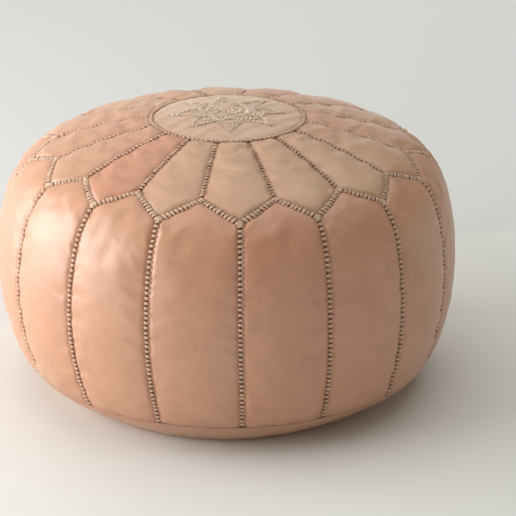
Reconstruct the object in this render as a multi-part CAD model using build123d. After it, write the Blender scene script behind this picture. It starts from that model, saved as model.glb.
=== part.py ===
from build123d import *
import os
from math import acos, asin, atan2, cos, degrees, hypot, radians, sin, sqrt

# A stuffed leather pouf: sixteen top panels and sixteen side panels round a stitched medallion,
# closed by a two-piece base with a zip in it, over an inner bag of stuffing.
# Millimetres, +Z up, origin at the centre of the face that it stands on. -Y is the front.

# Overall shape
HEIGHT = 326.0
DOME_RADIUS = 580.0  # the top, from the axis out to the peaks of the chevrons
PEAK_RING = 205.0  # distance of those peaks from the axis
SHOULDER_RADIUS = 85.0
SHOULDER_END = 75.0  # degrees from the axis at which the shoulder runs into the side
SIDE_RADIUS = 290.0
BASE_SEAM_HEIGHT = 32.0
FOOT_RADIUS = 180.0  # the flat round that it stands on ends here
FOOT_ROLL = 20.0  # radius of the turn from the floor up into the base's slope

# Leather
PANELS = 16
LEATHER = 2.0
SEAM_GAP = 0.5  # between neighbouring panels
MEDALLION_RADIUS = 89.0
VALLEY_RING = 232.0  # distance from the axis of the points where the side seams start

# Stitching along the seams, a raised strip of wrapped thread
STITCH_WIDTH = 5.0
STITCH_LIFT = 0.3
STITCH_TOP = 2.3
STITCH_REACH = 3.6  # how far a seam's strip keeps from the strips that it meets
BASE_THREAD_RADIUS = 0.8

# Medallion embroidery, two squares that cross as an eight-pointed star
STAR_RADIUS = 66.0
STAR_LINE = 2.4
STAR_TOP = 1.3

# Inside
BAG_OFFSET = 3.6
BAG_THICKNESS = 1.0
STUFFING_GAP = 0.4

# Zip in the base, along X, set in a shallow tray of turned-in leather
TRAY_DEPTH = 6.0
TRAY_SLOT_WIDTH = 11.0
TRAY_SLOT_LENGTH = 302.0
TRAY_RIM = 6.5  # leather between the slot's edge and the tray's wall
TRAY_TAPER = 60.0
TAPE_WIDTH = 11.8
TAPE_THICKNESS = 0.8
TAPE_LENGTH = 306.0
TAPE_LIFT = 0.2
TOOTH_LENGTH = 2.6
TOOTH_WIDTH = 1.3
TOOTH_HEIGHT = 2.2
TOOTH_PITCH = 3.0
TOOTH_INNER = 0.5  # each row stops this far from the middle, which leaves the slider's wedge its way
TAPE_EDGE = TOOTH_INNER + TOOTH_LENGTH  # the tape's inner edge, from the middle
CHAIN_LENGTH = 288.0
SLIDER_LENGTH = 11.0
SLIDER_WIDTH = 9.0
SLIDER_CHANNEL = 2.9
SLIDER_PLATE = 0.9
SLIDER_FLANGE = 0.8
WEDGE_WIDTH = 0.6
CROWN_LENGTH = 7.0
CROWN_WIDTH = 2.2
CROWN_BAR = 0.9
PIN_RADIUS = 0.8  # the pull tab's round bar, under the slider's crown
PIN_CLEARANCE = 0.2
TAB_LENGTH = 26.0
TAB_WIDTH = 7.0
TAB_THICKNESS = 1.2
TAB_WINDOW = 5.0
TAB_REST_TILT = 9.0  # degrees that the tab hangs below flat
STOP_LENGTH = 2.4

# Worked out from the above
PITCH = 360 / PANELS
DOME_END = degrees(asin(PEAK_RING / DOME_RADIUS))
DOME_CENTRE = (0.0, HEIGHT - DOME_RADIUS)


def polar(centre, radius, angle):
    """The point of a profile arc, as (distance from the axis, height); angle 0 is straight up."""
    return (centre[0] + radius * sin(radians(angle)), centre[1] + radius * cos(radians(angle)))


SHOULDER_CENTRE = polar(DOME_CENTRE, DOME_RADIUS - SHOULDER_RADIUS, DOME_END)
SIDE_CENTRE = polar(SHOULDER_CENTRE, SHOULDER_RADIUS - SIDE_RADIUS, SHOULDER_END)
SIDE_END = 90 + degrees(asin((SIDE_CENTRE[1] - BASE_SEAM_HEIGHT) / SIDE_RADIUS))
BASE_SEAM_RADIUS = polar(SIDE_CENTRE, SIDE_RADIUS, SIDE_END)[0]
ROLL_CENTRE = (FOOT_RADIUS, FOOT_ROLL)
SLOPE_REACH = BASE_SEAM_RADIUS - FOOT_RADIUS
SLOPE_RISE = BASE_SEAM_HEIGHT - FOOT_ROLL
SLOPE_TURN = acos(FOOT_ROLL / hypot(SLOPE_REACH, SLOPE_RISE)) - atan2(SLOPE_RISE, SLOPE_REACH)
SLOPE_ANGLE = 90 + degrees(SLOPE_TURN)  # the way the base's slope faces, from the top
PEAK_ANGLE = DOME_END
VALLEY_ANGLE = degrees(asin((VALLEY_RING - SHOULDER_CENTRE[0]) / SHOULDER_RADIUS))
MEDALLION_ANGLE = degrees(asin(MEDALLION_RADIUS / DOME_RADIUS))
ZIP_LEVEL = TRAY_DEPTH + LEATHER + TAPE_LIFT + TAPE_THICKNESS / 2
SLIDER_BOTTOM = ZIP_LEVEL - SLIDER_CHANNEL / 2 - SLIDER_PLATE
PIN_LEVEL = SLIDER_BOTTOM - PIN_RADIUS - PIN_CLEARANCE
SLIDER_AT = CHAIN_LENGTH / 2 - SLIDER_LENGTH / 2  # the slider rests at the closed end
ARCS = [
    (DOME_CENTRE, DOME_RADIUS, 0.0, DOME_END),
    (SHOULDER_CENTRE, SHOULDER_RADIUS, DOME_END, SHOULDER_END),
    (SIDE_CENTRE, SIDE_RADIUS, SHOULDER_END, SIDE_END),
]


def on_profile(angle, offset=0.0):
    """The profile's point at an angle from the top, moved out of the surface by offset."""
    for centre, radius, _, end in ARCS:
        if angle <= end + 1e-6:
            return polar(centre, radius + offset, angle)
    raise ValueError("past the base seam")


def at(point, turn=0.0):
    """A profile point as a 3-D one, turned about the axis; turn 0 is +X."""
    r, z = point
    return Vector(r * cos(radians(turn)), r * sin(radians(turn)), z)


def profile_arcs(start, end, offset):
    """The profile's arcs from one angle to another, moved out by offset."""
    edges = []
    for centre, radius, low, high in ARCS:
        a, b = max(start, low), min(end, high)
        if b - a > 1e-6:
            points = [at(polar(centre, radius + offset, x)) for x in (a, (a + b) / 2, b)]
            edges.append(ThreePointArc(*points))
    return edges


def band(start, end, outer, inner):
    """A face in the XZ plane between two offsets of the profile."""
    edges = profile_arcs(start, end, outer) + profile_arcs(start, end, inner)
    for angle in (start, end):
        low, high = at(on_profile(angle, inner)), at(on_profile(angle, outer))
        edges.append(Line(low, high))
    return make_face(edges)


def along(angle):
    """The outward direction of a profile where it faces that many degrees from the top."""
    return at((sin(radians(angle)), cos(radians(angle))))


def bowl(offset):
    """The base from its seam to the foot, moved out by offset: a straight slope, then a roll into the floor.
    It starts on the cut that parts it from the side panels, one and a half gaps past their edge."""
    cut = along(SIDE_END)
    edge = at(on_profile(SIDE_END)) + along(SIDE_END + 90) * 1.5 * SEAM_GAP
    roll = [at(polar(ROLL_CENTRE, FOOT_ROLL + offset, x)) for x in (SLOPE_ANGLE, (SLOPE_ANGLE + 180) / 2, 180)]
    slope = along(SLOPE_ANGLE)
    start = edge + cut * ((roll[0] - edge).dot(slope) / cut.dot(slope))
    return [Line(start, roll[0]), ThreePointArc(*roll)]


def turned(face, centre, width):
    """A face revolved over width degrees, centred on the direction centre."""
    return revolve(face, Axis.Z, revolution_arc=width).rotate(Axis.Z, centre - width / 2)


def gap_angle(radius):
    """The seam gap as an angle at a distance from the axis."""
    return degrees(SEAM_GAP / radius)


def chevron_plane(valley, peak, shift):
    """The plane that cuts the leather square along the seam from a valley to a peak, moved up by shift."""
    low = at(on_profile(VALLEY_ANGLE), valley)
    high = at(on_profile(PEAK_ANGLE), peak)
    middle = (VALLEY_ANGLE + PEAK_ANGLE) / 2
    outward = at((sin(radians(middle)), cos(radians(middle))), (valley + peak) / 2)
    upward = (high - low).cross(outward).normalized()
    if upward.Z < 0:
        upward = -upward
    return Plane(origin=(low + high) / 2 + upward * shift, z_dir=upward)


def seam_turns():
    """The directions of the side seams; the first is at the front."""
    return [-90 + k * PITCH for k in range(PANELS)]


def side_panel(seam):
    """The side panel to the right of a side seam, pointed at the top."""
    middle = seam + PITCH / 2
    blank = turned(band(MEDALLION_ANGLE, SIDE_END, 0, -LEATHER), middle, PITCH - gap_angle(VALLEY_RING))
    for valley in (seam, seam + PITCH):
        blank = split(blank, chevron_plane(valley, middle, -SEAM_GAP / 2), keep=Keep.BOTTOM)
    return blank


def top_panel(seam):
    """The top panel above a side seam, pointed at the bottom."""
    start = MEDALLION_ANGLE + degrees(SEAM_GAP / DOME_RADIUS)
    blank = turned(band(start, SHOULDER_END, 0, -LEATHER), seam, PITCH - gap_angle(PEAK_RING))
    for peak in (seam - PITCH / 2, seam + PITCH / 2):
        blank = split(blank, chevron_plane(seam, peak, SEAM_GAP / 2), keep=Keep.TOP)
    return blank


def medallion():
    return revolve(band(0, MEDALLION_ANGLE, 0, -LEATHER), Axis.Z)


def straight_stitching(start, end):
    """A strip of stitching along a seam that runs down the profile."""
    strip = band(start, end, STITCH_TOP, STITCH_LIFT)
    return extrude(strip, STITCH_WIDTH / 2, dir=(0, 1, 0), both=True)


def side_seam_stitching():
    start = VALLEY_ANGLE + degrees(STITCH_REACH / SHOULDER_RADIUS)
    end = SIDE_END - degrees(STITCH_REACH / SIDE_RADIUS)
    strip = straight_stitching(start, end)
    return [strip.rotate(Axis.Z, turn) for turn in seam_turns()]


def top_seam_stitching():
    start = MEDALLION_ANGLE + degrees(STITCH_REACH / DOME_RADIUS)
    end = PEAK_ANGLE - degrees(STITCH_REACH / DOME_RADIUS)
    strip = straight_stitching(start, end)
    return [strip.rotate(Axis.Z, turn + PITCH / 2) for turn in seam_turns()]


def chevron_stitching():
    """A strip on each straight run of the zigzag between the top panels and the side panels."""
    margin = degrees(STITCH_WIDTH / SHOULDER_RADIUS)
    blank_face = band(DOME_END - margin, VALLEY_ANGLE + margin, STITCH_TOP, STITCH_LIFT)
    width = PITCH / 2 - gap_angle(PEAK_RING) / 2
    strips = []
    for seam in seam_turns():
        for side in (-1, 1):
            peak = seam + side * PITCH / 2
            strip = turned(blank_face, (seam + peak) / 2, width)
            strip = split(strip, chevron_plane(seam, peak, STITCH_WIDTH / 2), keep=Keep.BOTTOM)
            strip = split(strip, chevron_plane(seam, peak, -STITCH_WIDTH / 2), keep=Keep.TOP)
            strips.append(strip)
    return strips


def medallion_ring_stitching():
    half = degrees(STITCH_WIDTH / 2 / DOME_RADIUS)
    ring = band(MEDALLION_ANGLE - half, MEDALLION_ANGLE + half, STITCH_TOP, STITCH_LIFT)
    return revolve(ring, Axis.Z)


def medallion_embroidery():
    """Lines of thread lying on the medallion's crown."""
    side = STAR_RADIUS * sqrt(2)
    frame = Rectangle(side, side) - Rectangle(side - 2 * STAR_LINE, side - 2 * STAR_LINE)
    star = frame + Rot(0, 0, 45) * frame
    column = extrude(Pos(0, 0, HEIGHT - LEATHER * 8) * star, LEATHER * 16)
    return column & revolve(band(0, MEDALLION_ANGLE, STAR_TOP, STITCH_LIFT), Axis.Z)


def base_seam_thread():
    crease = at((BASE_SEAM_RADIUS + BASE_THREAD_RADIUS + 1, BASE_SEAM_HEIGHT - BASE_THREAD_RADIUS))
    section = Plane(origin=crease, z_dir=(0, 1, 0)) * Circle(BASE_THREAD_RADIUS)
    return revolve(section, Axis.Z)


def tray(grown):
    """The block of space that the zip's tray takes up from the floor, grown on every side."""
    flare = TRAY_DEPTH / cos(radians(TRAY_TAPER)) * sin(radians(TRAY_TAPER))
    width = TRAY_SLOT_WIDTH + 2 * (TRAY_RIM + flare + grown)
    length = TRAY_SLOT_LENGTH + 2 * (TRAY_RIM + flare + grown)
    depth = TRAY_DEPTH + grown
    return extrude(SlotOverall(length, width), depth, taper=TRAY_TAPER * TRAY_DEPTH / depth)


def base_leather():
    """Both base panels as one, before they are parted: foot, bowl and zip tray."""
    outer, inner = bowl(0), bowl(-LEATHER)
    foot_top = Line(at((0, LEATHER)), at((FOOT_RADIUS, LEATHER)))
    foot = Line(at((0, 0)), at((FOOT_RADIUS, 0)))
    rim = Line(outer[0] @ 0, inner[0] @ 0)
    axis = Line(at((0, 0)), at((0, LEATHER)))
    shell = revolve(make_face(outer + inner + [foot, rim, foot_top, axis]), Axis.Z)
    slot = extrude(SlotOverall(TRAY_SLOT_LENGTH, TRAY_SLOT_WIDTH), 2 * TRAY_DEPTH)
    return shell + tray(LEATHER) - tray(0) - slot


def base_panel(side):
    """One half of the base; side is -1 for the front and 1 for the back."""
    keep = Keep.TOP if side > 0 else Keep.BOTTOM
    cut = Plane(origin=(0, side * SEAM_GAP / 2, 0), z_dir=(0, 1, 0))
    return split(base_leather(), cut, keep=keep)


def inner_form(offset):
    """The solid inside the cover at a distance from its outer surface, without the zip's tray."""
    base = bowl(-offset)
    wall = profile_arcs(0, SIDE_END, -offset) + base
    corner = Line(at(on_profile(SIDE_END, -offset)), base[0] @ 0)
    floor = Line(at((FOOT_RADIUS, offset)), at((0, offset)))
    axis = Line(at((0, offset)), at((0, HEIGHT - offset)))
    return revolve(make_face(wall + [corner, floor, axis]), Axis.Z)


def inner_bag():
    clear = tray(LEATHER + BAG_OFFSET)
    cavity = inner_form(BAG_OFFSET + BAG_THICKNESS) - tray(LEATHER + BAG_OFFSET + BAG_THICKNESS)
    return inner_form(BAG_OFFSET) - clear - cavity


def stuffing():
    offset = BAG_OFFSET + BAG_THICKNESS + STUFFING_GAP
    return inner_form(offset) - tray(LEATHER + offset)


def zip_tape(side):
    middle = side * (TAPE_EDGE + TAPE_WIDTH / 2)
    return Pos(0, middle, ZIP_LEVEL) * Box(TAPE_LENGTH, TAPE_WIDTH, TAPE_THICKNESS)


def zip_teeth(side):
    """One row of teeth; the two rows stand half a pitch apart."""
    count = int(CHAIN_LENGTH / TOOTH_PITCH)
    shift = TOOTH_PITCH / 4 * side
    tooth = Box(TOOTH_WIDTH, TOOTH_LENGTH, TOOTH_HEIGHT)
    middle = side * (TOOTH_INNER + TOOTH_LENGTH / 2)
    places = [(k - (count - 1) / 2) * TOOTH_PITCH + shift for k in range(count)]
    return [Pos(x, middle, ZIP_LEVEL) * tooth for x in places]


def zip_top_stops():
    """A small clamp on each tape, past the closed end of the teeth."""
    x = CHAIN_LENGTH / 2 + STOP_LENGTH
    clamp = Box(STOP_LENGTH, TOOTH_LENGTH, TOOTH_HEIGHT)
    middle = TOOTH_INNER + TOOTH_LENGTH / 2
    return [Pos(x, side * middle, ZIP_LEVEL) * clamp for side in (-1, 1)]


def zip_bottom_stop():
    """One clamp over both rows, at the open end."""
    x = -CHAIN_LENGTH / 2 - STOP_LENGTH
    block = Box(STOP_LENGTH, 2 * (TOOTH_INNER + TOOTH_LENGTH), TOOTH_HEIGHT)
    return Pos(x, 0, ZIP_LEVEL) * fillet(block.edges().filter_by(Axis.Z), TOOTH_INNER)


def zip_slider():
    """Two plates over the teeth, joined by the wedge between them, with a crown for the pull tab."""
    outline = Trapezoid(SLIDER_WIDTH, SLIDER_LENGTH, 84, align=(Align.CENTER, Align.CENTER))
    outline = Rot(0, 0, 90) * outline
    outline = fillet(outline.vertices(), 1.2)
    half = SLIDER_CHANNEL / 2
    lower = extrude(Pos(0, 0, -half - SLIDER_PLATE) * outline, SLIDER_PLATE)
    upper = extrude(Pos(0, 0, half) * outline, SLIDER_PLATE)
    wall = offset(outline, -SLIDER_FLANGE)
    slit = TAPE_THICKNESS + 2 * TAPE_LIFT
    flange = extrude(Pos(0, 0, -half) * (outline - wall), SLIDER_CHANNEL)
    flange -= Box(2 * SLIDER_LENGTH, 2 * SLIDER_WIDTH, slit)
    flange -= Box(2 * SLIDER_LENGTH, 2 * (TOOTH_INNER + TOOTH_LENGTH + TAPE_LIFT), SLIDER_CHANNEL)
    wedge = Pos(SLIDER_LENGTH / 2 - 2, 0, 0) * Box(3, WEDGE_WIDTH, SLIDER_CHANNEL)
    crown_depth = 2 * (PIN_RADIUS + PIN_CLEARANCE) + CROWN_BAR
    hanging = (Align.CENTER, Align.CENTER, Align.MAX)
    crown = Box(CROWN_LENGTH, CROWN_WIDTH, crown_depth, align=hanging)
    crown = fillet(crown.edges().filter_by(Axis.Y).group_by(Axis.Z)[0], CROWN_BAR)
    opening = 2 * (PIN_RADIUS + PIN_CLEARANCE)
    crown -= Box(CROWN_LENGTH - 2 * CROWN_BAR, CROWN_WIDTH, opening, align=hanging)
    crown = Pos(0, 0, -half - SLIDER_PLATE) * crown
    return Pos(SLIDER_AT, 0, ZIP_LEVEL) * (lower + upper + flange + wedge + crown)


def zip_pull_tab():
    """A flat tab with a window, whose round end bar hangs in the slider's crown."""
    plate = Pos(-TAB_LENGTH / 2, 0, 0) * Box(TAB_LENGTH, TAB_WIDTH, TAB_THICKNESS)
    plate = fillet(plate.edges().filter_by(Axis.Z).group_by(Axis.X)[0], TAB_WIDTH / 2 - 0.3)
    gap = TAB_WINDOW
    window = Pos(-gap / 2 - PIN_RADIUS, 0, 0) * Box(gap, TAB_WIDTH - 2.6, 2 * TAB_THICKNESS)
    mouth = Pos(gap / 2 - PIN_RADIUS, 0, 0) * Box(gap, TAB_WIDTH - 2.6, 2 * TAB_THICKNESS)
    bar = Rot(90, 0, 0) * Cylinder(PIN_RADIUS, TAB_WIDTH)
    tab = plate - window - mouth + bar
    hole = Pos(-TAB_LENGTH + TAB_WIDTH / 2, 0, 0) * Cylinder(1.2, 2 * TAB_THICKNESS)
    tab = (tab - hole).rotate(Axis.Y, -TAB_REST_TILT)
    return Pos(SLIDER_AT, 0, PIN_LEVEL) * tab


def save(name, shape):
    """Writes one sub-part, whose pieces may be a list."""
    pieces = shape if isinstance(shape, list) else [shape]
    solids = [solid for piece in pieces for solid in piece.solids()]
    whole = solids[0] if len(solids) == 1 else Compound(children=solids)
    whole.label = name
    export_step(whole, f"parts/{name}.step")


def main():
    os.makedirs("parts", exist_ok=True)
    for k, seam in enumerate(seam_turns()):
        save(f"side_panel_{k + 1:02d}", side_panel(seam))
        save(f"top_panel_{k + 1:02d}", top_panel(seam))
    save("medallion_panel", medallion())
    save("side_seam_stitching", side_seam_stitching())
    save("top_seam_stitching", top_seam_stitching())
    save("chevron_seam_stitching", chevron_stitching())
    save("medallion_ring_stitching", medallion_ring_stitching())
    save("medallion_embroidery", medallion_embroidery())
    save("base_seam_thread", base_seam_thread())
    save("inner_bag", inner_bag())
    save("stuffing", stuffing())
    for side, name in ((-1, "front"), (1, "back")):
        save(f"base_panel_{name}", base_panel(side))
        save(f"zipper_tape_{name}", zip_tape(side))
        save(f"zipper_teeth_{name}", zip_teeth(side))
    save("zipper_top_stops", zip_top_stops())
    save("zipper_bottom_stop", zip_bottom_stop())
    save("zipper_slider", zip_slider())
    save("zipper_pull_tab", zip_pull_tab())


main()
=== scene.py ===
from math import asin, cos, degrees, pi, radians, sin

import bpy
import numpy as np
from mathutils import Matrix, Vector


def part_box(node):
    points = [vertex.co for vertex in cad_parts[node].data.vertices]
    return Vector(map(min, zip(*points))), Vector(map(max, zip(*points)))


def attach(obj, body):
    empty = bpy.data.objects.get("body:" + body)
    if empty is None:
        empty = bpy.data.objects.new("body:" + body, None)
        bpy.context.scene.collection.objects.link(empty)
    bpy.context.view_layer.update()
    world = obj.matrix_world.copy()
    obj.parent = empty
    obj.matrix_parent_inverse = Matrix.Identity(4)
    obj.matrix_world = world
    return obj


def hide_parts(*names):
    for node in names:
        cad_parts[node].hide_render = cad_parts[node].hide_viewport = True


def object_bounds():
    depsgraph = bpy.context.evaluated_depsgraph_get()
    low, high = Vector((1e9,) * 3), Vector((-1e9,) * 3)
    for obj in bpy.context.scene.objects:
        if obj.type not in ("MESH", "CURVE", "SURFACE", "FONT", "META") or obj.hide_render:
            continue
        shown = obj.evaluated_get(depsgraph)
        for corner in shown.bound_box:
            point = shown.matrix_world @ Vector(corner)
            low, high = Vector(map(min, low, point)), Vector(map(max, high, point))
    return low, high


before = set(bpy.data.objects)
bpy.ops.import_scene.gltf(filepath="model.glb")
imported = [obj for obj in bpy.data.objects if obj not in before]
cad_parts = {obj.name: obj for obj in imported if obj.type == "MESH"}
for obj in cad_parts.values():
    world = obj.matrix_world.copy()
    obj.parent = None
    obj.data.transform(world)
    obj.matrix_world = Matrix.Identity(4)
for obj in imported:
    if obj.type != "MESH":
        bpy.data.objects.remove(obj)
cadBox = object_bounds()

# The cover's form, in metres, as the CAD model has it: three arcs from the crown down to the base seam.
form = {
    "height": cadBox[1].z,
    "panels": 16,
    "domeRadius": 0.580,
    "peakRing": 0.205,        # the upper points of the zigzag seam, from the axis
    "valleyRing": 0.232,      # its lower points, where the side seams start
    "shoulderRadius": 0.085,
    "shoulderEnd": 75.0,      # degrees from the crown
    "sideRadius": 0.290,
    "baseSeamHeight": 0.032,
    "footRadius": 0.180,
    "footRoll": 0.020,        # radius of the turn from the floor up into the base's slope
    "medallionRadius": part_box("medallion_panel")[1].x,
    "leather": 0.002,
    "slump": 0.003,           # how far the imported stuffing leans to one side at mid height
}
# What hand sewing does to even spacing: the seams crowd towards the front,
# and the zigzag hangs lower on the right.
drift = {
    "crowding": 1.9,      # degrees round the pouf, at its left and right
    "hang": 3.5,          # millimetres down it, at the same places
    "turnChance": 0.4,    # degrees of chance difference on top
    "dropChance": 1.2,    # millimetres of the same
    "seed": 5,
}


def hexColour(text):
    # A hex colour as painted, turned to the linear values that shaders work in
    srgb = np.array([int(text[i:i + 2], 16) / 255 for i in (1, 3, 5)])
    linear = np.where(srgb <= 0.04045, srgb / 12.92, ((srgb + 0.055) / 1.055) ** 2.4)
    return (*[float(c) for c in linear], 1.0)


# Profile of the cover


def polar(centre, radius, angle):
    return (centre[0] + radius * sin(radians(angle)), centre[1] + radius * cos(radians(angle)))


domeEnd = degrees(asin(form["peakRing"] / form["domeRadius"]))
domeCentre = (0.0, form["height"] - form["domeRadius"])
shoulderCentre = polar(domeCentre, form["domeRadius"] - form["shoulderRadius"], domeEnd)
sideCentre = polar(shoulderCentre, form["shoulderRadius"] - form["sideRadius"], form["shoulderEnd"])
sideEnd = 90 + degrees(asin((sideCentre[1] - form["baseSeamHeight"]) / form["sideRadius"]))
peakRun = form["domeRadius"] * radians(domeEnd)
valleyAngle = degrees(asin((form["valleyRing"] - shoulderCentre[0]) / form["shoulderRadius"]))
valleyRun = peakRun + form["shoulderRadius"] * radians(valleyAngle - domeEnd)
shoulderRun = peakRun + form["shoulderRadius"] * radians(form["shoulderEnd"] - domeEnd)
seamRun = shoulderRun + form["sideRadius"] * radians(sideEnd - form["shoulderEnd"])
ringRun = form["domeRadius"] * asin(form["medallionRadius"] / form["domeRadius"])
baseSeamRadius = polar(sideCentre, form["sideRadius"], sideEnd)[0]


def onProfile(run):
    # Radius, height and normal of the profile at a distance along it from the crown: each arc in turn
    runs = [0, peakRun, shoulderRun, seamRun]
    angle = np.radians(np.interp(run, runs, [0, domeEnd, form["shoulderEnd"], sideEnd]))
    arc = np.searchsorted(runs[1:3], run)
    centres = np.array([domeCentre, shoulderCentre, sideCentre])[arc]
    arcRadius = np.array([form["domeRadius"], form["shoulderRadius"], form["sideRadius"]])[arc]
    outX = np.sin(angle)
    outZ = np.cos(angle)
    return centres[..., 0] + arcRadius * outX, centres[..., 1] + arcRadius * outZ, outX, outZ


def onCover(turn, run, lift=0.0):
    # A point of the cover: the profile's point turned about the axis, raised along its normal by lift,
    # and leaned sideways by a half wave over the height
    radius, height, outX, outZ = onProfile(run)
    reach = radius + lift * outX
    level = height + lift * outZ
    lean = form["slump"] * np.sin(pi * np.clip(level / form["height"], 0, 1)) ** 2
    x = reach * np.cos(turn) - lean
    return np.stack(np.broadcast_arrays(x, reach * np.sin(turn), level), axis=-1)


def normalOf(turn, run):
    _, _, outX, outZ = onProfile(run)
    return np.stack(np.broadcast_arrays(outX * np.cos(turn), outX * np.sin(turn), outZ), axis=-1)


def seamPlaces():
    # Turn and run of the zigzag's lower points, then of its upper ones. Each is evenly spaced, moved by
    # -crowding * sin(angle from the front) round the pouf and hang * sin(the same angle) down it, and by chance.
    chance = np.random.default_rng(drift["seed"])
    places = []
    for start, run in ((0.0, valleyRun), (0.5, peakRun)):
        fromFront = (np.arange(form["panels"]) + start) * 2 * pi / form["panels"]
        moved = chance.normal(0, drift["turnChance"], form["panels"]) - drift["crowding"] * np.sin(fromFront)
        drop = chance.normal(0, drift["dropChance"], form["panels"]) + drift["hang"] * np.sin(fromFront)
        places += [fromFront - pi / 2 + np.radians(moved), run + drop / 1000]
    return places


valleyTurn, valleyRuns, peakTurn, peakRuns = seamPlaces()
# at the foot the side seams are nearly even again
evenTurn = np.arange(form["panels"]) * 2 * pi / form["panels"] - pi / 2
footTurn = evenTurn + 0.3 * (valleyTurn - evenTurn)


def underside(radius, footRadius):
    # Height and tilt of the base at a distance from the axis: level, a roll, then a straight slope to the seam
    roll, reach, rise = form["footRoll"], baseSeamRadius - footRadius, form["baseSeamHeight"] - form["footRoll"]
    slope = pi / 2 - np.arccos(roll / np.hypot(reach, rise)) + np.arctan2(rise, reach)
    out = np.clip(radius - footRadius, 0, None)
    onRoll = np.minimum(out, roll * np.sin(slope))
    height = roll - np.sqrt(roll**2 - onRoll**2) + (out - onRoll) * np.tan(slope)
    return height, np.arcsin(onRoll / roll)


def footAt(angle):
    # The foot is a little wider in front, where the weight has pushed the base out, and uneven elsewhere
    front = np.clip(-np.sin(angle + 0.06), 0, 1)
    return form["footRadius"] - 0.003 + 0.013 * front**4 + 0.002 * np.sin(2 * angle + 1)


def unwrapped(first, second):
    # The second angle moved by whole turns to lie nearest to the first
    return second + 2 * pi * round((first - second) / (2 * pi))


def sidePlan(k, across, down):
    # Side panel k, between side seams k and k + 1: its top edge runs straight from valley to peak to valley,
    # and each column runs from there down to the base seam
    nextSeam = (k + 1) % form["panels"]
    left, right = valleyTurn[k], unwrapped(valleyTurn[k], valleyTurn[nextSeam])
    footLeft, footRight = footTurn[k], unwrapped(footTurn[k], footTurn[nextSeam])
    peak = unwrapped(valleyTurn[k], peakTurn[k])
    topTurn = np.interp(across, [0, 0.5, 1], [left, peak, right])
    topRun = np.interp(across, [0, 0.5, 1], [valleyRuns[k], peakRuns[k], valleyRuns[nextSeam]])
    footLine = footLeft + (footRight - footLeft) * across
    blend = down[:, None]
    turn = topTurn * (1 - blend) + footLine * blend
    run = topRun * (1 - blend) + seamRun * blend
    return turn, run


def topPlan(k, across, down):
    # Top panel k, above side seam k: from the medallion's edge out to peak, valley, peak
    before = (k - 1) % form["panels"]
    left, right = unwrapped(valleyTurn[k], peakTurn[before]), unwrapped(valleyTurn[k], peakTurn[k])
    outTurn = np.interp(across, [0, 0.5, 1], [left, valleyTurn[k], right])
    outRun = np.interp(across, [0, 0.5, 1], [peakRuns[before], valleyRuns[k], peakRuns[k]])
    middle = left + (right - left) * across
    blend = down[:, None] ** 2
    turn = middle * (1 - blend) + outTurn * blend
    run = ringRun * (1 - down[:, None]) + outRun * down[:, None]
    return turn, run


# Mesh helpers


def gridFaces(rows, columns):
    # Quads between neighbouring rows and columns of a grid, numbered row by row
    index = np.arange(rows * columns).reshape(rows, columns)
    corners = [index[:-1, :-1], index[1:, :-1], index[1:, 1:], index[:-1, 1:]]
    return np.stack(corners, axis=-1).reshape(-1, 4)


def makeMesh(name, points, faces, uv=None, attributes=None):
    # faces is a list of arrays, each of polygons with the same number of corners
    mesh = bpy.data.meshes.new(name)
    polygons = [list(map(int, face)) for block in faces for face in block]
    mesh.from_pydata(points.reshape(-1, 3).tolist(), [], polygons)
    mesh.polygons.foreach_set("use_smooth", np.ones(len(polygons), bool))
    if uv is not None:
        corner = np.zeros(len(mesh.loops), np.int32)
        mesh.loops.foreach_get("vertex_index", corner)
        layer = mesh.uv_layers.new(name="UVMap")
        layer.data.foreach_set("uv", uv.reshape(-1, 2)[corner].astype(np.float32).ravel())
    for key, values in (attributes or {}).items():
        attribute = mesh.attributes.new(key, "FLOAT", "POINT")
        attribute.data.foreach_set("value", values.astype(np.float32).ravel())
    mesh.update()
    piece = bpy.data.objects.new(name, mesh)
    bpy.context.scene.collection.objects.link(piece)
    return piece


def ringFaces(rings, around, start=0):
    # Quads between neighbouring closed rings of points, with each point's number and that of the one after it
    index = start + np.arange(rings * around).reshape(rings, around)
    after = np.roll(index, -1, axis=1)
    return index, after, np.stack([index[:-1], index[1:], after[1:], after[:-1]], axis=-1).reshape(-1, 4)


def addThickness(piece, thickness):
    solid = piece.modifiers.new("thickness", "SOLIDIFY")
    solid.thickness = thickness
    solid.offset = -1
    return piece


def place(piece, material, slot, *nodes):
    piece.data.materials.append(material)
    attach(piece, "cover")
    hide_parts(*nodes)
    return piece


# Cloth simulation of the panels. Every seam is held, and the leather between them swells outwards.

swelling = {
    "pressure": 5.0,
    "growth": 0.013,       # how much larger the leather is cut than the form that it is sewn to
    "frames": 20,
    "cap": 0.009,          # the furthest that a point may move
    "across": 20,          # cells over a panel
    "sideDown": 46,
    "topDown": 22,
}


def unevenness(turn, run, phase):
    # A fraction of a millimetre of dents: a few waves of unrelated lengths round and down the cover
    waves = np.sin(turn * 23 + run * 90 + phase) + np.sin(turn * 41 - run * 150 + 2.1 * phase)
    return 0.0004 * (waves + np.sin(turn * 13 + run * 210 + 0.7))


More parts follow.
